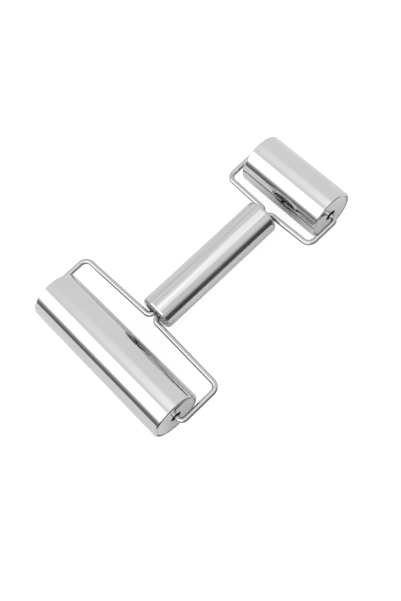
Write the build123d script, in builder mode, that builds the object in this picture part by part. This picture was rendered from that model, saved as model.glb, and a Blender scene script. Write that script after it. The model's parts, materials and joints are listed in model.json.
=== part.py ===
from build123d import *
import math
import os

# A double-ended steel brayer: a long roller and a short roller, each held in its own
# wire frame, on the two ends of one hollow handle.
# Millimetres. +X runs along the handle from the large roller to the small one, +Y is
# the roller axes, +Z is up. The tool rests on both rollers, and the origin is on that
# surface, under the middle of the whole length.

# Driving dimensions
ROLLER_DIAMETER = 33.0
LARGE_ROLLER_LENGTH = 110.0
SMALL_ROLLER_LENGTH = 61.5
AXLE_SPACING = 155.0
HANDLE_DIAMETER = 23.0
HANDLE_LENGTH = 92.4
HANDLE_TO_LARGE_AXLE = 34.4
WIRE_DIAMETER = 3.5

# Sheet metal
ROLLER_WALL = 1.5
ROLLER_EDGE_RADIUS = 1.1
HANDLE_WALL = 0.8
SHOULDER_RADIUS = 2.2
LIP_WIDTH = 1.0
END_PLATE_THICKNESS = 1.0

# Roller caps: pressed cups with a hole for the bush
CAP_THICKNESS = 1.0
CAP_RECESS = 0.2
CAP_SKIRT_DEPTH = 6.0
CAP_BEND_RADIUS = 0.8
CAP_HOLE_DIAMETER = 7.6

# Bushes: flanged nylon sleeves that the wire ends turn in
BUSH_RECESS = 0.7
BUSH_FLANGE_DIAMETER = 11.0
BUSH_FLANGE_THICKNESS = 1.4
BUSH_LENGTH = 9.0
RUNNING_CLEARANCE = 0.06

# Wire frames
STEM_SPACING = 4.1
STEM_BEND_RADIUS = 3.2
CORNER_BEND_RADIUS = 5.0
AXLE_BEND_RADIUS = 3.3
CROSSBAR_GAP = 3.2
CROSSBAR_LEAN = 1.8
LEG_TO_CAP = 4.5
AXLE_END_DEPTH = 8.0
STEM_DEPTH = 22.0
WIRE_END_CHAMFER = 0.5

# Ferrules: flattened sleeves that lock each pair of stems inside the handle
FERRULE_WALL = 1.2
FERRULE_LENGTH = 14.0
FERRULE_SETBACK = 3.0

# Places worked out from the driving dimensions
ROLLER_RADIUS = ROLLER_DIAMETER / 2
WIRE_RADIUS = WIRE_DIAMETER / 2
HANDLE_RADIUS = HANDLE_DIAMETER / 2
AXLE_HEIGHT = ROLLER_RADIUS
LARGE_AXLE_X = -AXLE_SPACING / 2
SMALL_AXLE_X = AXLE_SPACING / 2
HANDLE_START_X = LARGE_AXLE_X + HANDLE_TO_LARGE_AXLE
HANDLE_END_X = HANDLE_START_X + HANDLE_LENGTH

# One entry for each end: its name, its axle, its roller's length, the end of the handle
# beside it, and the sense of X from that axle towards the handle
ENDS = [
    ("large", LARGE_AXLE_X, LARGE_ROLLER_LENGTH, HANDLE_START_X, 1),
    ("small", SMALL_AXLE_X, SMALL_ROLLER_LENGTH, HANDLE_END_X, -1),
]
# Left and right are those of a person who pushes the large roller away from them
SIDES = [("left", -1), ("right", 1)]

os.makedirs("parts", exist_ok=True)


def axle_plane(axle_x, side=1):
    """The plane through a roller's axis, with its own x outwards along the axis."""
    return Plane(origin=(axle_x, 0, AXLE_HEIGHT), x_dir=(0, side, 0), z_dir=(side, 0, 0))


def axle_axis(axle_x):
    return Axis(origin=(axle_x, 0, AXLE_HEIGHT), direction=(0, 1, 0))


def save(part, name):
    part.label = name
    export_step(part, f"parts/{name}.step")


# Rollers: a plain tube with softened outer edges
for size, axle_x, length, handle_x, inward in ENDS:
    with BuildPart() as roller_tube:
        with BuildSketch(axle_plane(axle_x)):
            with Locations((0, ROLLER_RADIUS - ROLLER_WALL / 2)):
                Rectangle(length, ROLLER_WALL)
        revolve(axis=axle_axis(axle_x))
        outer_edges = roller_tube.edges().filter_by(GeomType.CIRCLE).group_by(SortBy.RADIUS)[-1]
        fillet(outer_edges, ROLLER_EDGE_RADIUS)
    save(roller_tube.part, f"{size}_roller_tube")

    for side_name, side in SIDES:
        cap_face = length / 2 - CAP_RECESS
        cap_radius = ROLLER_RADIUS - ROLLER_WALL

        # Caps: a flat disc turned in at its rim to a skirt that is pressed into the tube
        with BuildPart() as roller_cap:
            with BuildSketch(axle_plane(axle_x, side)):
                with BuildLine():
                    FilletPolyline(
                        (cap_face, CAP_HOLE_DIAMETER / 2),
                        (cap_face, cap_radius),
                        (cap_face - CAP_SKIRT_DEPTH, cap_radius),
                        radius=CAP_BEND_RADIUS,
                    )
                    Polyline(
                        (cap_face - CAP_SKIRT_DEPTH, cap_radius),
                        (cap_face - CAP_SKIRT_DEPTH, cap_radius - CAP_THICKNESS),
                        (cap_face - CAP_THICKNESS, cap_radius - CAP_THICKNESS),
                        (cap_face - CAP_THICKNESS, CAP_HOLE_DIAMETER / 2),
                        (cap_face, CAP_HOLE_DIAMETER / 2),
                    )
                make_face()
            revolve(axis=axle_axis(axle_x))
        save(roller_cap.part, f"{size}_roller_cap_{side_name}")

        # Bushes: a sleeve through the cap with a flange behind it
        bush_face = cap_face - BUSH_RECESS
        flange_face = cap_face - CAP_THICKNESS
        bush_bore = WIRE_RADIUS + RUNNING_CLEARANCE
        with BuildPart() as roller_bush:
            with BuildSketch(axle_plane(axle_x, side)):
                with BuildLine():
                    Polyline(
                        (bush_face, bush_bore),
                        (bush_face, CAP_HOLE_DIAMETER / 2),
                        (flange_face, CAP_HOLE_DIAMETER / 2),
                        (flange_face, BUSH_FLANGE_DIAMETER / 2),
                        (flange_face - BUSH_FLANGE_THICKNESS, BUSH_FLANGE_DIAMETER / 2),
                        (flange_face - BUSH_FLANGE_THICKNESS, CAP_HOLE_DIAMETER / 2),
                        (bush_face - BUSH_LENGTH, CAP_HOLE_DIAMETER / 2),
                        (bush_face - BUSH_LENGTH, bush_bore),
                        close=True,
                    )
                make_face()
            revolve(axis=axle_axis(axle_x))
        save(roller_bush.part, f"{size}_roller_bush_{side_name}")


# Handle: a tube whose two ends are rolled in over a round shoulder to a narrow flat lip
handle_plane = Plane(origin=(0, 0, AXLE_HEIGHT), x_dir=(1, 0, 0), z_dir=(0, -1, 0))
handle_axis = Axis(origin=(0, 0, AXLE_HEIGHT), direction=(1, 0, 0))
mouth_radius = HANDLE_RADIUS - SHOULDER_RADIUS - LIP_WIDTH
bore_radius = HANDLE_RADIUS - HANDLE_WALL
with BuildPart() as handle_tube:
    with BuildSketch(handle_plane):
        with BuildLine():
            FilletPolyline(
                (HANDLE_START_X, mouth_radius),
                (HANDLE_START_X, HANDLE_RADIUS),
                (HANDLE_END_X, HANDLE_RADIUS),
                (HANDLE_END_X, mouth_radius),
                radius=SHOULDER_RADIUS,
            )
            Line((HANDLE_END_X, mouth_radius), (HANDLE_END_X - HANDLE_WALL, mouth_radius))
            FilletPolyline(
                (HANDLE_END_X - HANDLE_WALL, mouth_radius),
                (HANDLE_END_X - HANDLE_WALL, bore_radius),
                (HANDLE_START_X + HANDLE_WALL, bore_radius),
                (HANDLE_START_X + HANDLE_WALL, mouth_radius),
                radius=SHOULDER_RADIUS - HANDLE_WALL,
            )
            Line((HANDLE_START_X + HANDLE_WALL, mouth_radius), (HANDLE_START_X, mouth_radius))
        make_face()
    revolve(axis=handle_axis)
save(handle_tube.part, "handle_tube")

# The two end plates and the two ferrules have the same flattened hole, which takes a
# pair of stems side by side
stem_pair_width = STEM_SPACING + WIRE_DIAMETER
end_plate_radius = bore_radius - (SHOULDER_RADIUS - HANDLE_WALL)
for size, axle_x, length, handle_x, inward in ENDS:
    # A plane across the handle at this end of it, facing into the handle
    end_plane = Plane(origin=(handle_x, 0, AXLE_HEIGHT), x_dir=(0, 1, 0), z_dir=(inward, 0, 0))

    # End plates: discs that close the handle behind its lips
    with BuildPart() as end_plate:
        with BuildSketch(end_plane.offset(HANDLE_WALL)):
            Circle(end_plate_radius)
            SlotOverall(stem_pair_width, WIRE_DIAMETER, mode=Mode.SUBTRACT)
        extrude(amount=END_PLATE_THICKNESS)
    save(end_plate.part, f"handle_end_plate_{size}")

    # Ferrules: flattened sleeves crimped round each pair of stems
    with BuildPart() as ferrule:
        with BuildSketch(end_plane.offset(HANDLE_WALL + END_PLATE_THICKNESS + FERRULE_SETBACK)):
            SlotOverall(stem_pair_width + 2 * FERRULE_WALL, WIRE_DIAMETER + 2 * FERRULE_WALL)
            SlotOverall(stem_pair_width, WIRE_DIAMETER, mode=Mode.SUBTRACT)
        extrude(amount=FERRULE_LENGTH)
    save(ferrule.part, f"stem_ferrule_{size}")

    # Wires: each frame is two mirrored bent rods. A rod starts inside its bush, turns
    # along the roller's end, turns again into the crossbar, and turns into the handle.
    # The crossbars lean a little back towards the roller at their outer corners.
    crossbar_x = handle_x - inward * CROSSBAR_GAP
    leg_y = length / 2 + LEG_TO_CAP
    for side_name, side in SIDES:
        stem_y = side * STEM_SPACING / 2
        crossbar_length = leg_y - STEM_SPACING / 2
        lean = crossbar_length * math.tan(math.radians(CROSSBAR_LEAN))
        route = [
            Vector(axle_x, side * (length / 2 - AXLE_END_DEPTH), AXLE_HEIGHT),
            Vector(axle_x, side * leg_y, AXLE_HEIGHT),
            Vector(crossbar_x - inward * lean, side * leg_y, AXLE_HEIGHT),
            Vector(crossbar_x, stem_y, AXLE_HEIGHT),
            Vector(handle_x + inward * STEM_DEPTH, stem_y, AXLE_HEIGHT),
        ]
        with BuildPart() as frame_wire:
            with BuildLine():
                route_line = FilletPolyline(
                    *route, radius=[AXLE_BEND_RADIUS, CORNER_BEND_RADIUS, STEM_BEND_RADIUS]
                )
            with BuildSketch(Plane(origin=route[0], z_dir=(0, side, 0))):
                Circle(WIRE_RADIUS)
            sweep(path=route_line)
            end_faces = frame_wire.faces().filter_by(GeomType.PLANE)
            chamfer(end_faces.edges(), WIRE_END_CHAMFER)
        save(frame_wire.part, f"{size}_frame_wire_{side_name}")
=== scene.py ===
# %% [markdown]
# # A double-ended steel brayer
# A brayer is a hand roller for spreading ink or for pressing glued sheets together. This
# one is all stainless steel: a long and a short roller, each in a frame of two bent wires,
# on the two ends of one tubular handle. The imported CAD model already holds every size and
# joint, so this lesson starts from it and gives each piece its finished shape and surface.
# Everything is in metres, and a piece stands where its CAD node stands.

# %% Load the frame
import json
import math
import bmesh
import bpy
from mathutils import Matrix, Quaternion, Vector


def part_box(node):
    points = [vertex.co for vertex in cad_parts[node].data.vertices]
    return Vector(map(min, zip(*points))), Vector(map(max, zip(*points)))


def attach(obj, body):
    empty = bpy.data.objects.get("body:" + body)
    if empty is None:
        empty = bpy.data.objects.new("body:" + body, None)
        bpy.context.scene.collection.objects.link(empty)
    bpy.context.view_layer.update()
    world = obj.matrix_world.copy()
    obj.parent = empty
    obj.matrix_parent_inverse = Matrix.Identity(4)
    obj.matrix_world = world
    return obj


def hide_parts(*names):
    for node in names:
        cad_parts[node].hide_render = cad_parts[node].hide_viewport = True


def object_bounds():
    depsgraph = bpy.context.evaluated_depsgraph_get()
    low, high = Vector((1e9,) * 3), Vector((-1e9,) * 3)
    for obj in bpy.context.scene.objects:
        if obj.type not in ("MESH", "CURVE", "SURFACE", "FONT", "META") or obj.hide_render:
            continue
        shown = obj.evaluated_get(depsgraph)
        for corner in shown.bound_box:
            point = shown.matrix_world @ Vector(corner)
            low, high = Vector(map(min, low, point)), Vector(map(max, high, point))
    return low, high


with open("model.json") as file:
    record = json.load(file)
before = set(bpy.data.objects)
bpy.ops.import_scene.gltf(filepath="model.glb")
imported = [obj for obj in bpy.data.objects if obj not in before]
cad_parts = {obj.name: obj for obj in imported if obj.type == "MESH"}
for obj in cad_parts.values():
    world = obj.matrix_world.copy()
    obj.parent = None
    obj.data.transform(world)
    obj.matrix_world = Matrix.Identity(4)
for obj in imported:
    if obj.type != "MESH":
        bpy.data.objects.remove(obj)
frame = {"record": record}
cad_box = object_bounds()
MM = 0.001

# %% [markdown]
# ## Sizes come from the frame
# A maker measures the part on the bench before cutting anything that must fit it. The
# boxes of the CAD nodes give nearly every size here, so nothing can drift away from the
# model. Only what a box can't show, such as a rounding or a wall, is written down below as
# a number.

# %% Measure the rollers
ALONG_X, ALONG_Y, ALONG_Z = 0, 1, 2


def length_of(node, axis):
    low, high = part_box(node)
    return high[axis] - low[axis]


def middle_of(node, axis):
    low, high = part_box(node)
    return (high[axis] + low[axis]) / 2


ROLLER_SIZES = ("large", "small")
SIDES = {"left": -1, "right": 1}
ROLLER_RADIUS = length_of("large_roller_tube", ALONG_Z) / 2
CAP_RADIUS = length_of("large_roller_cap_left", ALONG_Z) / 2
CAP_DEPTH = length_of("large_roller_cap_left", ALONG_Y)
BUSH_LENGTH = length_of("large_roller_bush_left", ALONG_Y)
FLANGE_RADIUS = length_of("large_roller_bush_left", ALONG_Z) / 2
AXLE_HEIGHT = middle_of("large_roller_tube", ALONG_Z)
for size in ROLLER_SIZES:
    length = length_of(f"{size}_roller_tube", ALONG_Y)
    print(f"{size} roller: {length / MM:.1f} mm long, {2 * ROLLER_RADIUS / MM:.1f} mm across")

# %% Measure the handle and its wires
HANDLE_RADIUS = length_of("handle_tube", ALONG_Z) / 2
HANDLE_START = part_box("handle_tube")[0].x
HANDLE_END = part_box("handle_tube")[1].x
HANDLE_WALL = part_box("handle_end_plate_large")[0].x - HANDLE_START
PLATE_RADIUS = length_of("handle_end_plate_large", ALONG_Z) / 2
PLATE_THICKNESS = length_of("handle_end_plate_large", ALONG_X)
WIRE_RADIUS = length_of("large_frame_wire_left", ALONG_Z) / 2
STEM_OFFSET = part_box("large_frame_wire_right")[0].y + WIRE_RADIUS
handle_length = HANDLE_END - HANDLE_START
print(f"handle: {handle_length / MM:.1f} mm long, {2 * HANDLE_RADIUS / MM:.1f} mm across")
print(f"wire: {2 * WIRE_RADIUS / MM:.1f} mm thick, stems {2 * STEM_OFFSET / MM:.1f} mm apart")

# %% [markdown]
# ## Colours and nodes
# A colour listed here is an sRGB value, written in hex. Shaders calculate with linear
# light, so one function turns hex to linear. A second small function adds any shader node
# with its settings and its inputs, which keeps each finish down to a few readable lines.

# %% Colour and node helpers


def linear(hex_colour):
    """An sRGB hex colour as the linear red, green, blue and alpha that shaders use."""
    values = []
    for start in (1, 3, 5):
        level = int(hex_colour[start : start + 2], 16) / 255
        values.append(level / 12.92 if level <= 0.04045 else ((level + 0.055) / 1.055) ** 2.4)
    return (*values, 1.0)


def add_node(tree, kind, inputs=(), **settings):
    """Add a node, set its settings, and feed its inputs with values or with other outputs."""
    node = tree.nodes.new(kind)
    for name, value in settings.items():
        setattr(node, name, value)
    for socket, value in dict(inputs).items():
        if isinstance(value, bpy.types.NodeSocket):
            tree.links.new(value, node.inputs[socket])
        else:
            node.inputs[socket].default_value = value
    return node


print("#F4F4F4 in linear light is", [round(part, 3) for part in linear("#F4F4F4")[:3]])

# %% [markdown]
# ## The pattern follows the way a piece was made
# Polishing lines on a turned part run round its axis, and lines on drawn wire run along
# it, bends and all. So each mesh keeps an attribute called as_made: every point's place
# before the piece was put together. For a turned piece that is its place on the lathe,
# across, across and along its axis. For a wire it is its place in the straight rod. A
# second attribute, edge_wear, is 1 on rounded edges, where handling rubs the metal.
#
# A finish is then three things: a colour that wanders a little, a roughness that lines and
# wear add to, and a relief, laid down from the broadest waves to the finest lines.

# %% Patterns of a real size


def streaks(tree, across, along, detail):
    """A pattern whose features have a real size across and along the axis of the piece."""
    made = add_node(tree, "ShaderNodeAttribute", attribute_name="as_made").outputs["Vector"]
    inputs = {"Vector": made, "Scale": (1 / across, 1 / across, 1 / along)}
    stretched = add_node(tree, "ShaderNodeMapping", inputs).outputs["Vector"]
    inputs = {"Vector": stretched, "Scale": 1.0, "Detail": detail}
    return add_node(tree, "ShaderNodeTexNoise", inputs).outputs[0]


def shaded(tree, dark, bright, pattern):
    """A colour that wanders between two close greys."""
    inputs = {"Factor": pattern, "A": linear(dark), "B": linear(bright)}
    return add_node(tree, "ShaderNodeMix", inputs, data_type="RGBA").outputs["Result"]


print(f"lines 0.5 mm wide need a pattern scale of {1 / (0.5 * MM):.0f} to the metre")

# %% Start a finish and give it its surface


def new_finish(name, roughness, metallic):
    """A material with its shader's own sockets set, ready for its surface."""
    finish = bpy.data.materials.new(name)
    finish.use_nodes = True
    shader = finish.node_tree.nodes["Principled BSDF"]
    shader.inputs["Metallic"].default_value = metallic
    shader.inputs["Roughness"].default_value = roughness
    return finish, finish.node_tree, shader


def give_surface(tree, shader, colour, roughness, relief):
    """Feed a shader its colour, its roughness and its relief.

    Roughness is the smoothest value, then (pattern, amount) pairs that add to it.
    Relief is (pattern, depth) pairs.
    """
    tree.links.new(colour, shader.inputs["Base Color"])
    rough, *additions = roughness
    for pattern, amount in additions:
        inputs = {0: pattern, 1: amount, 2: rough}
        rough = add_node(tree, "ShaderNodeMath", inputs, operation="MULTIPLY_ADD").outputs[0]
    tree.links.new(rough, shader.inputs["Roughness"])
    inputs = {"Strength": 1.0}
    for pattern, depth in relief:
        inputs.update({"Height": pattern, "Distance": depth})
        inputs["Normal"] = add_node(tree, "ShaderNodeBump", inputs).outputs[0]
    tree.links.new(inputs["Normal"], shader.inputs["Normal"])


print("materials before the first finish:", len(bpy.data.materials))

# %% [markdown]
# ## Mirror-polished stainless steel
# The rollers are thin-walled tube, ground and then buffed on a wheel until they mirror the
# room. Nothing in such a surface is really flat grey: what the eye reads is the softness
# of the reflections. Three things break a perfect mirror. Buffing leaves hairlines round
# the tube, a few hundredths of a millimetre apart, drawn here at 0.5 mm so that they show.
# The thin wall is out of true by some hundredths, which makes a straight reflection
# waver. And the rounded edges are scuffed by whatever the roller bumps into.

# %% Mirror-polished tube
BUFFING_LINE = 0.5 * MM
BUFFING_LENGTH = 14 * MM
BUFFING_DEPTH = 0.0006 * MM
WAVER_ACROSS = 16 * MM
WAVER_ALONG = 30 * MM
WAVER_DEPTH = 0.025 * MM
BUFFED_ROUGHNESS = 0.035
BUFFING_ROUGHNESS = 0.03
SCUFF_ROUGHNESS = 0.12


def mirror_polished_tube():
    finish, tree, shader = new_finish("mirror-polished stainless steel tube", 0.05, 1.0)
    lines = streaks(tree, BUFFING_LENGTH, BUFFING_LINE, 3.0)
    waver = streaks(tree, WAVER_ACROSS, WAVER_ALONG, 1.0)
    wear = add_node(tree, "ShaderNodeAttribute", attribute_name="edge_wear").outputs["Fac"]
    colour = shaded(tree, "#C8C8C8", "#D0D0D0", waver)
    roughness = (BUFFED_ROUGHNESS, (wear, SCUFF_ROUGHNESS), (lines, BUFFING_ROUGHNESS))
    relief = ((waver, WAVER_DEPTH), (lines, BUFFING_DEPTH))
    give_surface(tree, shader, colour, roughness, relief)
    return finish


ROLLER_FINISH = mirror_polished_tube()
print("finish:", ROLLER_FINISH.name)

# %% [markdown]
# ## A solid from rings
# Tube, cap, bush, end plate and ferrule are all rings: each has a hole right through it.
# Such a solid is a closed outline carried once round a hole. It could be spun with a
# screw modifier, but the plates and ferrules have a flattened hole, so this lesson lays
# the outline down as a stack of rings and skins them, the last one joined to the first.
# Every corner of an outline gets a small true radius, because a real edge is never sharp
# and the highlight along it is what makes metal look thick.

# %% Outlines with rounded corners
ARC_STEPS = 7
WEAR_REACH = 1.5 * MM
LONG_RUN = 3 * WEAR_REACH


def calm_point(corner, towards, setback, flat):
    """The point on a long run beside a corner where the corner's wear has died away."""
    if towards.length <= LONG_RUN:
        return []
    return [(*(corner + towards.normalized() * (setback + WEAR_REACH)), flat, 0.0)]


def rounded_outline(corners):
    """Points (along, radius, flat, wear) round a closed outline.

    A corner is (along, radius, rounding, flat), where flat is half the length of the
    straight flats of a flattened ring.
    """
    points = []
    for index, (along, radius, rounding, flat) in enumerate(corners):
        if rounding == 0:
            points.append((along, radius, flat, 0.0))
            continue
        corner = Vector((along, radius))
        before = Vector(corners[index - 1][:2]) - corner
        after = Vector(corners[(index + 1) % len(corners)][:2]) - corner
        half_turn = before.angle(after) / 2
        setback = rounding / math.tan(half_turn)
        inward = (before.normalized() + after.normalized()).normalized()
        centre = corner + inward * (rounding / math.sin(half_turn))
        start = corner + before.normalized() * setback - centre
        end = corner + after.normalized() * setback - centre
        swing = start.angle_signed(end)
        points += calm_point(corner, before, setback, flat)
        for step in range(ARC_STEPS + 1):
            spoke = start.copy()
            spoke.rotate(Matrix.Rotation(-swing * step / ARC_STEPS, 2))
            points.append((*(centre + spoke), flat, 1.0))
        points += calm_point(corner, after, setback, flat)
    return points


sample = rounded_outline([
    (0, 5 * MM, 1 * MM, 0),
    (0, 9 * MM, 1 * MM, 0),
    (20 * MM, 9 * MM, 1 * MM, 0),
])
print("an outline of 3 rounded corners has", len(sample), "points")

# %% Skin a stack of rings
ON_THE_MIDDLE = 1e-9


def skin_rings(name, outline, sides):
    """A solid whose rings have an outline's radii, with straight flats where it asks for them."""
    places = []
    wear = []
    for along, radius, flat, worn in outline:
        for side in range(sides):
            angle = math.tau * side / sides
            across = math.cos(angle)
            aside = math.copysign(flat, across) if abs(across) > ON_THE_MIDDLE else 0.0
            places.append((radius * across + aside, radius * math.sin(angle), along))
            wear.append(worn)
    faces = []
    for ring in range(len(outline)):
        here = ring * sides
        there = (ring + 1) % len(outline) * sides
        for side in range(sides):
            beside = (side + 1) % sides
            faces.append((here + side, here + beside, there + beside, there + side))
    mesh = bpy.data.meshes.new(name)
    mesh.from_pydata(places, [], faces)
    flat_list = [part for place in places for part in place]
    mesh.attributes.new("as_made", "FLOAT_VECTOR", "POINT").data.foreach_set("vector", flat_list)
    mesh.attributes.new("edge_wear", "FLOAT", "POINT").data.foreach_set("value", wear)
    return mesh


sample_ring = skin_rings("sample ring", sample, 12)
print("carried round in 12 sides it has", len(sample_ring.polygons), "faces")
bpy.data.meshes.remove(sample_ring)

# %% Finish a mesh and put it in place
SHARP_ANGLE = math.radians(40)
FLAT_FACE_WEIGHT = 100
BODY_OF = {n: body for body, nodes in frame["record"]["behaviour"]["bodies"].items() for n in nodes}


def face_outwards(mesh):
    work = bmesh.new()
    work.from_mesh(mesh)
    bmesh.ops.recalc_face_normals(work, faces=work.faces)
    work.to_mesh(mesh)
    work.free()


def settled(piece):
    """The piece's mesh with its modifiers carried out and removed."""
    evaluated = piece.evaluated_get(bpy.context.evaluated_depsgraph_get())
    mesh = bpy.data.meshes.new_from_object(evaluated)
    mesh.name = piece.name
    piece.modifiers.clear()
    return mesh


def put_in_place(mesh, node, finish):
    """Shade a mesh, make it the piece that stands for a CAD node, and let it ride on its body."""
    face_outwards(mesh)
    mesh.shade_smooth()
    mesh.set_sharp_from_angle(angle=SHARP_ANGLE)
    piece = bpy.data.objects.new(f"finished_{node}", mesh)
    bpy.context.scene.collection.objects.link(piece)
    normals = piece.modifiers.new("flat faces stay flat", "WEIGHTED_NORMAL")
    normals.keep_sharp = True
    normals.weight = FLAT_FACE_WEIGHT
    piece.data = settled(piece)
    piece.data.materials.clear()
    piece.data.materials.append(finish)
    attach(piece, BODY_OF[node])
    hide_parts(node)
    print(f"{piece.name}: {len(piece.data.polygons)} faces")


def turn_piece(node, corners, sides, seat, finish):
    """Make a ring-shaped piece on the lathe, seat it on its axis, and put it in place."""
    mesh = skin_rings(node, rounded_outline(corners), sides)
    mesh.transform(seat)
    put_in_place(mesh, node, finish)


# %% [markdown]
# ## Roller tubes
# Each roller is a length of tube with its outer edges softened so that they don't mark
# the sheet. The outline is the cut wall: two outer corners with the edge radius, two inner
# corners with a trace of one. 192 sides keep the mirror round even in a close view.

# %% Turn the roller tubes
TURNED_SIDES = 192
ROLLER_EDGE = 1.1 * MM
DEBURRED = 0.1 * MM


def along_axle(x):
    """Takes a turned piece from the lathe, its axis along z, to a roller's axle, along y."""
    turn = Matrix(((1, 0, 0), (0, 0, 1), (0, -1, 0))).to_4x4()
    return Matrix.Translation((x, 0, AXLE_HEIGHT)) @ turn


for size in ROLLER_SIZES:
    node = f"{size}_roller_tube"
    half = length_of(node, ALONG_Y) / 2
    corners = [
        (-half, CAP_RADIUS, DEBURRED, 0),
        (-half, ROLLER_RADIUS, ROLLER_EDGE, 0),
        (half, ROLLER_RADIUS, ROLLER_EDGE, 0),
        (half, CAP_RADIUS, DEBURRED, 0),
    ]
    turn_piece(node, corners, TURNED_SIDES, along_axle(middle_of(node, ALONG_X)), ROLLER_FINISH)

# %% [markdown]
# ## Roller caps
# A cap is pressed from sheet: a flat disc whose rim is turned in to a skirt, which is
# forced into the tube. The bend leaves a fine seam between cap and tube; the shade in
# that gap is painted into the cap's colour as a dark line round its rim. The punched hole has a slightly
# rolled edge.
# Polishing on a spindle leaves very fine circles on the face, so its lines are read from
# the distance to the axis. Real ones can't be told apart by eye; these are 0.35 mm apart.

# %% Polished pressed cap
TURNING_LINE = 0.35 * MM
TURNING_DEPTH = 0.0008 * MM
DENT_SIZE = 5 * MM
DENT_DEPTH = 0.012 * MM
# Painted shade in the seam: how wide the dark ring at the cap's rim is, and how dark it gets
PAINTED_SEAM_SHADE_WIDTH = 0.8 * MM
PAINTED_SEAM_SHADE_STRENGTH = 0.95
CAP_ROUGHNESS = 0.05
TURNING_ROUGHNESS = 0.04
RUBBED_ROUGHNESS = 0.08


def polished_cap():
    finish, tree, shader = new_finish("polished pressed stainless steel", 0.07, 1.0)
    made = add_node(tree, "ShaderNodeAttribute", attribute_name="as_made").outputs["Vector"]
    inputs = {0: made, 1: (1, 1, 0)}
    in_disc = add_node(tree, "ShaderNodeVectorMath", inputs, operation="MULTIPLY").outputs[0]
    inputs = {0: in_disc}
    distance = add_node(tree, "ShaderNodeVectorMath", inputs, operation="LENGTH").outputs["Value"]
    inputs = {0: distance, 1: 1 / TURNING_LINE}
    ring_number = add_node(tree, "ShaderNodeMath", inputs, operation="MULTIPLY").outputs[0]
    inputs = {"W": ring_number, "Scale": 1.0, "Detail": 2.0}
    circles = add_node(tree, "ShaderNodeTexNoise", inputs, noise_dimensions="1D").outputs[0]
    dents = streaks(tree, DENT_SIZE, DENT_SIZE, 2.0)
    # Painted shade: near its rim the cap's colour turns almost black, where the gap between cap and tube
    # is shadowed
    inputs = {
        "Value": distance,
        "From Min": CAP_RADIUS - PAINTED_SEAM_SHADE_WIDTH,
        "From Max": CAP_RADIUS,
        "To Max": PAINTED_SEAM_SHADE_STRENGTH,
    }
    in_painted_seam_shade = add_node(tree, "ShaderNodeMapRange", inputs).outputs[0]
    unshaded_steel = shaded(tree, "#C4C4C4", "#CECECE", dents)
    inputs = {"Factor": in_painted_seam_shade, "A": unshaded_steel, "B": linear("#1A1A1A")}
    colour = add_node(tree, "ShaderNodeMix", inputs, data_type="RGBA").outputs["Result"]
    wear = add_node(tree, "ShaderNodeAttribute", attribute_name="edge_wear").outputs["Fac"]
    roughness = (CAP_ROUGHNESS, (wear, RUBBED_ROUGHNESS), (circles, TURNING_ROUGHNESS))
    relief = ((dents, DENT_DEPTH), (circles, TURNING_DEPTH))
    give_surface(tree, shader, colour, roughness, relief)
    return finish


CAP_FINISH = polished_cap()
print("finish:", CAP_FINISH.name)

# %% Press the caps
SHEET = 1.0 * MM
CAP_BEND = 0.8 * MM
INNER_BEND = 0.25 * MM
CAP_HOLE_RADIUS = 3.8 * MM
PUNCHED_EDGE = 0.3 * MM


def outer_face(node, side):
    """How far from the middle a piece at one end of a roller reaches along the axle."""
    return side * max(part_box(node), key=lambda corner: side * corner.y).y


for size in ROLLER_SIZES:
    for side_name, side in SIDES.items():
        node = f"{size}_roller_cap_{side_name}"
        face = outer_face(node, side)
        behind = face - SHEET
        back = face - CAP_DEPTH
        corners = [
            (side * face, CAP_HOLE_RADIUS, PUNCHED_EDGE, 0),
            (side * face, CAP_RADIUS, CAP_BEND, 0),
            (side * back, CAP_RADIUS, DEBURRED, 0),
            (side * back, CAP_RADIUS - SHEET, DEBURRED, 0),
            (side * behind, CAP_RADIUS - SHEET, INNER_BEND, 0),
            (side * behind, CAP_HOLE_RADIUS, DEBURRED, 0),
        ]
        turn_piece(node, corners, TURNED_SIDES, along_axle(middle_of(node, ALONG_X)), CAP_FINISH)

# %% [markdown]
# ## Nylon bushes
# The wire ends turn in black nylon sleeves behind the caps, so that steel doesn't grate on
# steel. Moulded nylon takes the fine eroded grain of its mould, about a fifth of a
# millimetre. Inside the shaded hole such a grain is matt and gives nothing back at a low
# angle, so the shader's specular level is set low and the sleeve stays black.

# %% Moulded nylon
MOULD_GRAIN = 0.2 * MM
MOULD_DEPTH = 0.016 * MM
NYLON_IOR = 1.53
NYLON_SPECULAR_LEVEL = 0.1
NYLON_ROUGHNESS = 0.5
GRAIN_ROUGHNESS = 0.2


def moulded_nylon():
    finish, tree, shader = new_finish("moulded black nylon", 0.6, 0.0)
    shader.inputs["IOR"].default_value = NYLON_IOR
    shader.inputs["Specular IOR Level"].default_value = NYLON_SPECULAR_LEVEL
    grain = streaks(tree, MOULD_GRAIN, MOULD_GRAIN, 3.0)
    colour = shaded(tree, "#050505", "#121212", grain)
    roughness = (NYLON_ROUGHNESS, (grain, GRAIN_ROUGHNESS))
    give_surface(tree, shader, colour, roughness, ((grain, MOULD_DEPTH),))
    return finish


BUSH_FINISH = moulded_nylon()
print("finish:", BUSH_FINISH.name)

# %% Mould the bushes
BUSH_SIDES = 96
FLANGE_THICKNESS = 1.4 * MM
RUNNING_CLEARANCE = 0.06 * MM
MOULDED_EDGE = 0.15 * MM

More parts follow.
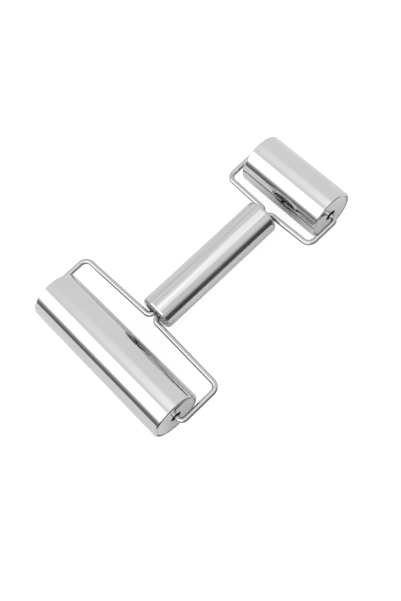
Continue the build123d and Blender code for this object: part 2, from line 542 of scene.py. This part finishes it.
for size in ROLLER_SIZES:
    for side_name, side in SIDES.items():
        node = f"{size}_roller_bush_{side_name}"
        face = outer_face(node, side)
        flange = outer_face(f"{size}_roller_cap_{side_name}", side) - SHEET
        flange_back = flange - FLANGE_THICKNESS
        sleeve_end = face - BUSH_LENGTH
        bore = WIRE_RADIUS + RUNNING_CLEARANCE
        corners = [
            (side * face, bore, MOULDED_EDGE, 0),
            (side * face, CAP_HOLE_RADIUS, MOULDED_EDGE, 0),
            (side * flange, CAP_HOLE_RADIUS, 0, 0),
            (side * flange, FLANGE_RADIUS, MOULDED_EDGE, 0),
            (side * flange_back, FLANGE_RADIUS, MOULDED_EDGE, 0),
            (side * flange_back, CAP_HOLE_RADIUS, 0, 0),
            (side * sleeve_end, CAP_HOLE_RADIUS, MOULDED_EDGE, 0),
            (side * sleeve_end, bore, MOULDED_EDGE, 0),
        ]
        turn_piece(node, corners, BUSH_SIDES, along_axle(middle_of(node, ALONG_X)), BUSH_FINISH)

# %% [markdown]
# ## The satin handle
# The handle is stainless tube, drawn through a belt so that the grit leaves lines along
# its length. They are a few hundredths of a millimetre wide on the real tube. Here they
# come in two sizes that can be seen: streaks about 2.2 mm wide and 70 mm long, which turn
# a highlight into soft bands, and finer lines of 0.35 mm inside them. The metal between
# the lines is still bright, so the surface is shiny with a grain, not matt. Hands polish
# the rounded ends, so there wear makes the metal smoother instead of rougher.

# %% Satin tube
STREAK_WIDTH = 2.2 * MM
STREAK_LENGTH = 70 * MM
STREAK_DEPTH = 0.05 * MM
BELT_LINE_WIDTH = 0.35 * MM
BELT_LINE_LENGTH = 25 * MM
BELT_LINE_DEPTH = 0.003 * MM
SATIN_ROUGHNESS = 0.09
STREAK_ROUGHNESS = 0.14
HAND_POLISH = -0.04


def satin_tube():
    finish, tree, shader = new_finish("satin stainless steel tube", 0.16, 1.0)
    bands = streaks(tree, STREAK_WIDTH, STREAK_LENGTH, 3.0)
    lines = streaks(tree, BELT_LINE_WIDTH, BELT_LINE_LENGTH, 2.0)
    wear = add_node(tree, "ShaderNodeAttribute", attribute_name="edge_wear").outputs["Fac"]
    colour = shaded(tree, "#A8A8A8", "#DCDCDC", bands)
    roughness = (SATIN_ROUGHNESS, (wear, HAND_POLISH), (bands, STREAK_ROUGHNESS))
    relief = ((bands, STREAK_DEPTH), (lines, BELT_LINE_DEPTH))
    give_surface(tree, shader, colour, roughness, relief)
    return finish


HANDLE_FINISH = satin_tube()
print("finish:", HANDLE_FINISH.name)

# %% [markdown]
# ## Handle tube
# The tube's ends are spun inwards over a round shoulder to a narrow flat lip. The outline
# is the cut wall again, now with two bent-in ends. The same stack of rings makes it, with
# the axis laid along x.

# %% Spin the handle tube
SHOULDER = 2.2 * MM
LIP_WIDTH = 1.0 * MM
LIP_EDGE = 0.2 * MM


def along_handle():
    """Takes a turned piece from the lathe, its axis along z, to the handle's axis, along x."""
    turn = Matrix(((0, 0, 1), (1, 0, 0), (0, 1, 0))).to_4x4()
    return Matrix.Translation((0, 0, AXLE_HEIGHT)) @ turn


mouth = HANDLE_RADIUS - SHOULDER - LIP_WIDTH
bore = HANDLE_RADIUS - HANDLE_WALL
inner_shoulder = SHOULDER - HANDLE_WALL
corners = [
    (HANDLE_START, mouth, LIP_EDGE, 0),
    (HANDLE_START, HANDLE_RADIUS, SHOULDER, 0),
    (HANDLE_END, HANDLE_RADIUS, SHOULDER, 0),
    (HANDLE_END, mouth, LIP_EDGE, 0),
    (HANDLE_END - HANDLE_WALL, mouth, DEBURRED, 0),
    (HANDLE_END - HANDLE_WALL, bore, inner_shoulder, 0),
    (HANDLE_START + HANDLE_WALL, bore, inner_shoulder, 0),
    (HANDLE_START + HANDLE_WALL, mouth, DEBURRED, 0),
]
turn_piece("handle_tube", corners, TURNED_SIDES, along_handle(), HANDLE_FINISH)

# %% [markdown]
# ## End plates and ferrules
# Behind each lip a stamped disc closes the handle, with one flattened hole for the pair of
# wire stems. Inside, a flattened sleeve is crimped round the pair, so that the wires can't
# be pulled out. Both are rings with straight flats, which is why the skinning takes a flat.
# Their steel keeps the straight grinding lines of the coil or of the drawing die, which are
# drawn 0.3 mm wide so that they show.

# %% Stamped plate and drawn sleeve finishes
GRIT_LINE = 0.3 * MM
GRIT_LENGTH = 9 * MM
GRIT_DEPTH = 0.003 * MM
GRIT_ROUGHNESS = 0.12


def ground_steel(name, dark, bright, roughness):
    """Sheet or sleeve steel with grinding lines that make it rougher here and smoother there."""
    finish, tree, shader = new_finish(name, roughness, 1.0)
    lines = streaks(tree, GRIT_LINE, GRIT_LENGTH, 3.0)
    smoothest = roughness - GRIT_ROUGHNESS / 2
    colour = shaded(tree, dark, bright, lines)
    relief = ((lines, GRIT_DEPTH),)
    give_surface(tree, shader, colour, (smoothest, (lines, GRIT_ROUGHNESS)), relief)
    return finish


PLATE_FINISH = ground_steel("stamped stainless steel disc", "#787878", "#8C8C8C", 0.2)
FERRULE_FINISH = ground_steel("drawn stainless steel sleeve", "#A6A6A6", "#BEBEBE", 0.28)
print("finishes:", PLATE_FINISH.name, "and", FERRULE_FINISH.name)

# %% Stamp the plates and draw the ferrules
PLATE_SIDES = 96
FERRULE_WALL = 1.2 * MM


def flattened_ring(start, end, outer_radius, outer_flat):
    """Corners of a ring round the pair of stems, from one end of it to the other."""
    return [
        (start, WIRE_RADIUS, DEBURRED, STEM_OFFSET),
        (start, outer_radius, DEBURRED, outer_flat),
        (end, outer_radius, DEBURRED, outer_flat),
        (end, WIRE_RADIUS, DEBURRED, STEM_OFFSET),
    ]


for size in ROLLER_SIZES:
    node = f"handle_end_plate_{size}"
    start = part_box(node)[0].x
    corners = flattened_ring(start, start + PLATE_THICKNESS, PLATE_RADIUS, 0)
    turn_piece(node, corners, PLATE_SIDES, along_handle(), PLATE_FINISH)

    node = f"stem_ferrule_{size}"
    start, end = (corner.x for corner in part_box(node))
    corners = flattened_ring(start, end, WIRE_RADIUS + FERRULE_WALL, STEM_OFFSET)
    turn_piece(node, corners, PLATE_SIDES, along_handle(), FERRULE_FINISH)

# %% [markdown]
# ## Bending the wires
# Each frame is two mirrored rods of spring wire, bent three times: out of the bush along
# the roller's end, round the corner into the crossbar, and into the handle. A rod that
# follows a path is what Geometry Nodes does well. The path goes in as a few points, each
# with its own bend radius; the tree rounds the corners, thickens the path to the wire's
# diameter, tapers the cut ends, and writes as_made as the rod was before it was bent.

# %% Build the rod bender
BENDER_INPUTS = {
    "Path": "NodeSocketGeometry",
    "Rod Radius": "NodeSocketFloat",
    "End Chamfer": "NodeSocketFloat",
    "Bend Steps": "NodeSocketInt",
    "Sides": "NodeSocketInt",
    "Finish": "NodeSocketMaterial",
}


def bent_path(tree, given):
    """The path with its corners rounded, and thinner at its two cut ends."""
    path = add_node(tree, "GeometryNodeMeshToCurve", {"Mesh": given["Path"]}).outputs["Curve"]
    inputs = {"Name": "bend_radius"}
    bend = add_node(tree, "GeometryNodeInputNamedAttribute", inputs, data_type="FLOAT")
    inputs = {"Curve": path, "Count": given["Bend Steps"], "Radius": bend.outputs["Attribute"]}
    bent = add_node(tree, "GeometryNodeFilletCurve", inputs, mode="POLY").outputs["Curve"]

    inputs = {"Start Size": 1, "End Size": 1}
    cut_end = add_node(tree, "GeometryNodeCurveEndpointSelection", inputs).outputs[0]
    inputs = {0: given["Rod Radius"], 1: given["End Chamfer"]}
    end_radius = add_node(tree, "ShaderNodeMath", inputs, operation="SUBTRACT").outputs[0]
    inputs = {0: end_radius, 1: given["Rod Radius"]}
    share = add_node(tree, "ShaderNodeMath", inputs, operation="DIVIDE").outputs[0]
    inputs = {"Switch": cut_end, "False": 1.0, "True": share}
    thickness = add_node(tree, "GeometryNodeSwitch", inputs, input_type="FLOAT").outputs[0]
    inputs = {"Curve": bent, "Radius": thickness}
    return add_node(tree, "GeometryNodeSetCurveRadius", inputs).outputs[0]


def rod_bender():
    """A Geometry Nodes tree that turns a path of points into a bent rod."""
    tree = bpy.data.node_groups.new("bent rod", "GeometryNodeTree")
    for name, kind in BENDER_INPUTS.items():
        tree.interface.new_socket(name, in_out="INPUT", socket_type=kind)
    tree.interface.new_socket("Rod", in_out="OUTPUT", socket_type="NodeSocketGeometry")
    given = add_node(tree, "NodeGroupInput").outputs

    inputs = {"Geometry": bent_path(tree, given)}
    measured = add_node(tree, "GeometryNodeCaptureAttribute", inputs)
    measured.capture_items.new("FLOAT", "Length")
    length = add_node(tree, "GeometryNodeSplineParameter").outputs["Length"]
    tree.links.new(length, measured.inputs["Length"])

    inputs = {"Resolution": given["Sides"], "Radius": given["Rod Radius"]}
    section = add_node(tree, "GeometryNodeCurvePrimitiveCircle", inputs).outputs["Curve"]
    marked = add_node(tree, "GeometryNodeCaptureAttribute", {"Geometry": section})
    marked.capture_items.new("VECTOR", "Section")
    place = add_node(tree, "GeometryNodeInputPosition").outputs[0]
    tree.links.new(place, marked.inputs["Section"])

    inputs = {
        "Curve": measured.outputs["Geometry"],
        "Profile Curve": marked.outputs["Geometry"],
        "Fill Caps": True,
    }
    rod = add_node(tree, "GeometryNodeCurveToMesh", inputs).outputs["Mesh"]
    x, y, z = add_node(tree, "ShaderNodeSeparateXYZ", {0: marked.outputs["Section"]}).outputs
    inputs = {0: x, 1: y, 2: measured.outputs["Length"]}
    unbent = add_node(tree, "ShaderNodeCombineXYZ", inputs).outputs[0]
    stored = add_node(
        tree,
        "GeometryNodeStoreNamedAttribute",
        {"Geometry": rod, "Name": "as_made", "Value": unbent},
        data_type="FLOAT_VECTOR",
        domain="POINT",
    ).outputs[0]
    whole = add_node(tree, "GeometryNodeRealizeInstances", {"Geometry": stored}).outputs[0]
    inputs = {"Geometry": whole, "Material": given["Finish"]}
    finished = add_node(tree, "GeometryNodeSetMaterial", inputs).outputs[0]
    add_node(tree, "NodeGroupOutput", {"Rod": finished})
    return tree


BENDER = rod_bender()
print("rod bender:", len(BENDER.nodes), "nodes, inputs", ", ".join(BENDER_INPUTS))

# %% [markdown]
# ## Bright spring wire
# The wire is drawn through a die and then tumbled bright. Drawing leaves fine lines along
# the rod, and they stay along it round the bends, which is what as_made gives. The lines
# are drawn at 0.25 mm, several times coarser than a real die leaves.

# %% Drawn wire finish
DIE_LINE = 0.25 * MM
DIE_LINE_LENGTH = 12 * MM
DIE_LINE_DEPTH = 0.0015 * MM
WIRE_ROUGHNESS = 0.05
DIE_LINE_ROUGHNESS = 0.06


def drawn_wire():
    finish, tree, shader = new_finish("polished stainless steel spring wire", 0.08, 1.0)
    lines = streaks(tree, DIE_LINE, DIE_LINE_LENGTH, 2.0)
    colour = shaded(tree, "#B0B0B0", "#BEBEBE", lines)
    roughness = (WIRE_ROUGHNESS, (lines, DIE_LINE_ROUGHNESS))
    give_surface(tree, shader, colour, roughness, ((lines, DIE_LINE_DEPTH),))
    return finish


WIRE_FINISH = drawn_wire()
print("finish:", WIRE_FINISH.name)

# %% [markdown]
# ## Routes of the four rods
# A rod's route is its corner points before bending: from inside the bush, out past the
# cap, along the roller's end, along the crossbar and into the handle. The crossbars lean a
# little towards the roller at their outer corners. An extra point beside each cut end
# keeps the chamfer short.

# %% Lay out a rod's route
AXLE_BEND = 3.3 * MM
CORNER_BEND = 5.0 * MM
STEM_BEND = 3.2 * MM
END_CHAMFER = 0.5 * MM
CROSSBAR_GAP = 3.2 * MM
CROSSBAR_LEAN = math.radians(1.8)
AXLE_END_DEPTH = 8.0 * MM


def rod_route(size, side_name):
    """Corner points of a rod, each with its bend radius."""
    side = SIDES[side_name]
    low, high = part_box(f"{size}_frame_wire_{side_name}")
    axle_x = middle_of(f"{size}_roller_tube", ALONG_X)
    inwards = 1 if axle_x < 0 else -1
    handle_face = HANDLE_START if inwards > 0 else HANDLE_END
    stem_end_x = high.x if inwards > 0 else low.x
    leg_y = max(abs(low.y), abs(high.y)) - WIRE_RADIUS
    axle_end_y = length_of(f"{size}_roller_tube", ALONG_Y) / 2 - AXLE_END_DEPTH
    crossbar_x = handle_face - inwards * CROSSBAR_GAP
    corner_x = crossbar_x - inwards * math.tan(CROSSBAR_LEAN) * (leg_y - STEM_OFFSET)
    return [
        (axle_x, side * axle_end_y, 0),
        (axle_x, side * (axle_end_y + END_CHAMFER), 0),
        (axle_x, side * leg_y, AXLE_BEND),
        (corner_x, side * leg_y, CORNER_BEND),
        (crossbar_x, side * STEM_OFFSET, STEM_BEND),
        (stem_end_x - inwards * END_CHAMFER, side * STEM_OFFSET, 0),
        (stem_end_x, side * STEM_OFFSET, 0),
    ]


print("a rod's route has", len(rod_route("large", "left")), "points")

# %% Bend the four rods
BEND_STEPS = 14
ROD_SIDES = 32


def bend_rod(name, route):
    """Run the rod bender on a route and return the rod as a plain mesh."""
    path = bpy.data.meshes.new(name)
    points = [(x, y, AXLE_HEIGHT) for x, y, radius in route]
    path.from_pydata(points, [(at, at + 1) for at in range(len(route) - 1)], [])
    bends = path.attributes.new("bend_radius", "FLOAT", "POINT")
    bends.data.foreach_set("value", [radius for x, y, radius in route])
    holder = bpy.data.objects.new(name, path)
    bpy.context.scene.collection.objects.link(holder)
    bender = holder.modifiers.new("rod bender", "NODES")
    bender.node_group = BENDER
    given = {
        "Rod Radius": WIRE_RADIUS,
        "End Chamfer": END_CHAMFER,
        "Bend Steps": BEND_STEPS,
        "Sides": ROD_SIDES,
        "Finish": WIRE_FINISH,
    }
    for item in BENDER.interface.items_tree:
        if item.name in given:
            bender[item.identifier] = given[item.name]
    rod = settled(holder)
    bpy.data.objects.remove(holder)
    return rod


for size in ROLLER_SIZES:
    for side_name in SIDES:
        node = f"{size}_frame_wire_{side_name}"
        put_in_place(bend_rod(node, rod_route(size, side_name)), node, WIRE_FINISH)

# %% [markdown]
# ## The table
# Polished steel has no look of its own: it shows the room, and the table first of all. The
# tool lies on white paper, and that is what the camera sees. What the steel mirrors is set
# apart from it: a sheet of white acrylic of a chosen size, which the camera can't see, so
# that the sheet's edges decide where the tubes mirror the table and where the dark room.

# %% Lay the sheet and hang the sweep
SHEET_EDGES = (-0.435, 0.60, -0.085, 0.60)
SWEEP_HALF = 1.2
SHEET_DROP = 0.05 * MM
PAPER_GLOW = 0.85


def flat_sheet(name, edges, height, finish):
    left, right, front, back = edges
    corners = [(left, front), (right, front), (right, back), (left, back)]
    mesh = bpy.data.meshes.new(name)
    mesh.from_pydata([(x, y, height) for x, y in corners], [], [(0, 1, 2, 3)])
    mesh.materials.append(finish)
    sheet = bpy.data.objects.new(name, mesh)
    bpy.context.scene.collection.objects.link(sheet)
    return sheet


def matt_white(name, hex_colour, roughness, glow):
    """A white without gloss, which can glow a little, as paper does with light behind it."""
    finish, tree, shader = new_finish(name, roughness, 0.0)
    shader.inputs["Base Color"].default_value = linear(hex_colour)
    shader.inputs["Specular IOR Level"].default_value = 0.0
    shader.inputs["Emission Color"].default_value = linear("#FFFFFF")
    shader.inputs["Emission Strength"].default_value = glow
    return finish


acrylic = matt_white("white acrylic sheet", "#DFDFDF", 0.6, 0.0)
sheet = flat_sheet("acrylic_sheet", SHEET_EDGES, -SHEET_DROP, acrylic)
sheet.visible_camera = False
paper = matt_white("white paper sweep", "#808080", 0.9, PAPER_GLOW)
sweep_edges = (-SWEEP_HALF, SWEEP_HALF, -SWEEP_HALF, SWEEP_HALF)
sweep = flat_sheet("paper_sweep", sweep_edges, 0.0, paper)
sweep.visible_diffuse = False
sweep.visible_glossy = False
sweep.visible_shadow = False
print(f"acrylic sheet: {SHEET_EDGES[1] - SHEET_EDGES[0]:.2f} m wide under {2 * SWEEP_HALF} m of paper")

# %% [markdown]
# ## The tent
# Round the table stands a white tent. A long soft window on the large roller's side gives
# the tubes their white stripe, and a soft panel overhead gives the fainter stripe beside
# it. Two dark strips at the height of the table's edge, on that side and in front, draw
# the dark lines along the tubes: without them steel looks like chalk. Each one is a band
# in the world's light, given by two pairs of angles between which it rises and falls.

# %% Measure directions in the tent
TENT = 1.0
WINDOW_GAIN = 1.5
WINDOW_ACROSS, WINDOW_ALONG = (-74, -58, -30, -15), (-50, -35, 40, 55)
PANEL_GAIN = 0.6
PANEL_ACROSS, PANEL_ALONG = (-16, 2, 18, 34), (-36, -16, 4, 32)
SIDE_STRIP_DARKNESS = 0.8
SIDE_STRIP_ACROSS, SIDE_STRIP_ALONG = (-178, -170, -84, -64), (-80, -60, 45, 60)
FRONT_STRIP_DARKNESS = 0.92
FRONT_STRIP_ACROSS, FRONT_STRIP_ALONG = (-178, -170, -80, -58), (-80, -60, 45, 60)
TENT_SEEN = 1.1


def soft_edge(tree, angle, dark, light):
    """A share that goes smoothly from 0 to 1 between two angles in degrees."""
    inputs = {"Value": angle, "From Min": math.radians(dark), "From Max": math.radians(light)}
    return add_node(
        tree, "ShaderNodeMapRange", inputs, interpolation_type="SMOOTHSTEP"
    ).outputs[0]


def patch(tree, across, across_edges, along, along_edges):
    """A soft rectangle on the tent: 1 inside its four edges, 0 well outside them."""
    share = 1.0
    for angle, edges in ((across, across_edges), (along, along_edges)):
        first, second, third, fourth = edges
        for dark, light in ((first, second), (fourth, third)):
            inputs = {0: share, 1: soft_edge(tree, angle, dark, light)}
            share = add_node(tree, "ShaderNodeMath", inputs, operation="MULTIPLY").outputs[0]
    return share


studio = bpy.data.worlds.new("white tent")
bpy.context.scene.world = studio
studio.use_nodes = True
tree = studio.node_tree
tree.nodes.clear()
outlook = add_node(tree, "ShaderNodeTexCoord").outputs["Generated"]
x, y, z = add_node(tree, "ShaderNodeSeparateXYZ", {0: outlook}).outputs
side_angle = add_node(tree, "ShaderNodeMath", {0: x, 1: z}, operation="ARCTAN2").outputs[0]
front_angle = add_node(tree, "ShaderNodeMath", {0: y, 1: z}, operation="ARCTAN2").outputs[0]
facing_side = add_node(tree, "ShaderNodeMath", {0: y}, operation="ARCSINE").outputs[0]
facing_front = add_node(tree, "ShaderNodeMath", {0: x}, operation="ARCSINE").outputs[0]
print("window:", WINDOW_ACROSS, "degrees from straight up; panel:", PANEL_ACROSS)

# %% Hang the window, the panel and the dark strips
light = TENT
for share, gain in (
    (patch(tree, side_angle, WINDOW_ACROSS, facing_side, WINDOW_ALONG), WINDOW_GAIN),
    (patch(tree, side_angle, PANEL_ACROSS, front_angle, PANEL_ALONG), PANEL_GAIN),
):
    inputs = {0: share, 1: gain, 2: light}
    light = add_node(tree, "ShaderNodeMath", inputs, operation="MULTIPLY_ADD").outputs[0]
for share, darkness in (
    (patch(tree, side_angle, SIDE_STRIP_ACROSS, facing_side, SIDE_STRIP_ALONG), SIDE_STRIP_DARKNESS),
    (patch(tree, front_angle, FRONT_STRIP_ACROSS, facing_front, FRONT_STRIP_ALONG), FRONT_STRIP_DARKNESS),
):
    inputs = {0: share, 1: -darkness, 2: 1.0}
    let_by = add_node(tree, "ShaderNodeMath", inputs, operation="MULTIPLY_ADD").outputs[0]
    inputs = {0: light, 1: let_by}
    light = add_node(tree, "ShaderNodeMath", inputs, operation="MULTIPLY").outputs[0]
# Behind the tool the tent looks as white as the paper, so that no horizon shows
seen = add_node(tree, "ShaderNodeLightPath").outputs["Is Camera Ray"]
inputs = {"Factor": seen, "A": light, "B": TENT_SEEN}
level = add_node(tree, "ShaderNodeMix", inputs, data_type="FLOAT").outputs[0]
glow = add_node(tree, "ShaderNodeBackground", {"Color": linear("#FFFFFF"), "Strength": level})
add_node(tree, "ShaderNodeOutputWorld", {"Surface": glow.outputs[0]})
bpy.context.scene.view_settings.view_transform = "Standard"
print("tent:", len(tree.nodes), "nodes")

# %% [markdown]
# ## Camera
# The camera looks down steeply from the large roller's side, with the tool slanting
# across the frame. It is set up as on a tripod: an aim point on the tool, a direction, a
# distance, and a roll about the lens axis.

# %% Set the camera
AIM_FROM_MIDDLE = Vector((-17.9, -13.0, 0.0)) * MM
AZIMUTH = math.radians(-29.14)
ELEVATION = math.radians(67.27)
ROLL = math.radians(-15.84)
DISTANCE = 508.8 * MM
LENS = 50.39
CLIP_START = 10 * MM

low, high = cad_box
aim = (low + high) / 2 + AIM_FROM_MIDDLE
away = Vector((
    math.sin(AZIMUTH) * math.cos(ELEVATION),
    -math.cos(AZIMUTH) * math.cos(ELEVATION),
    math.sin(ELEVATION),
))
camera = bpy.data.objects.new("camera", bpy.data.cameras.new("camera"))
bpy.context.scene.collection.objects.link(camera)
camera.data.lens = LENS
camera.data.clip_start = CLIP_START
camera.location = aim + away * DISTANCE
camera.rotation_mode = "QUATERNION"
camera.rotation_quaternion = (-away).to_track_quat("-Z", "Y") @ Quaternion((0, 0, 1), ROLL)
bpy.context.scene.camera = camera
print("camera at", [round(part / MM) for part in camera.location], "mm")
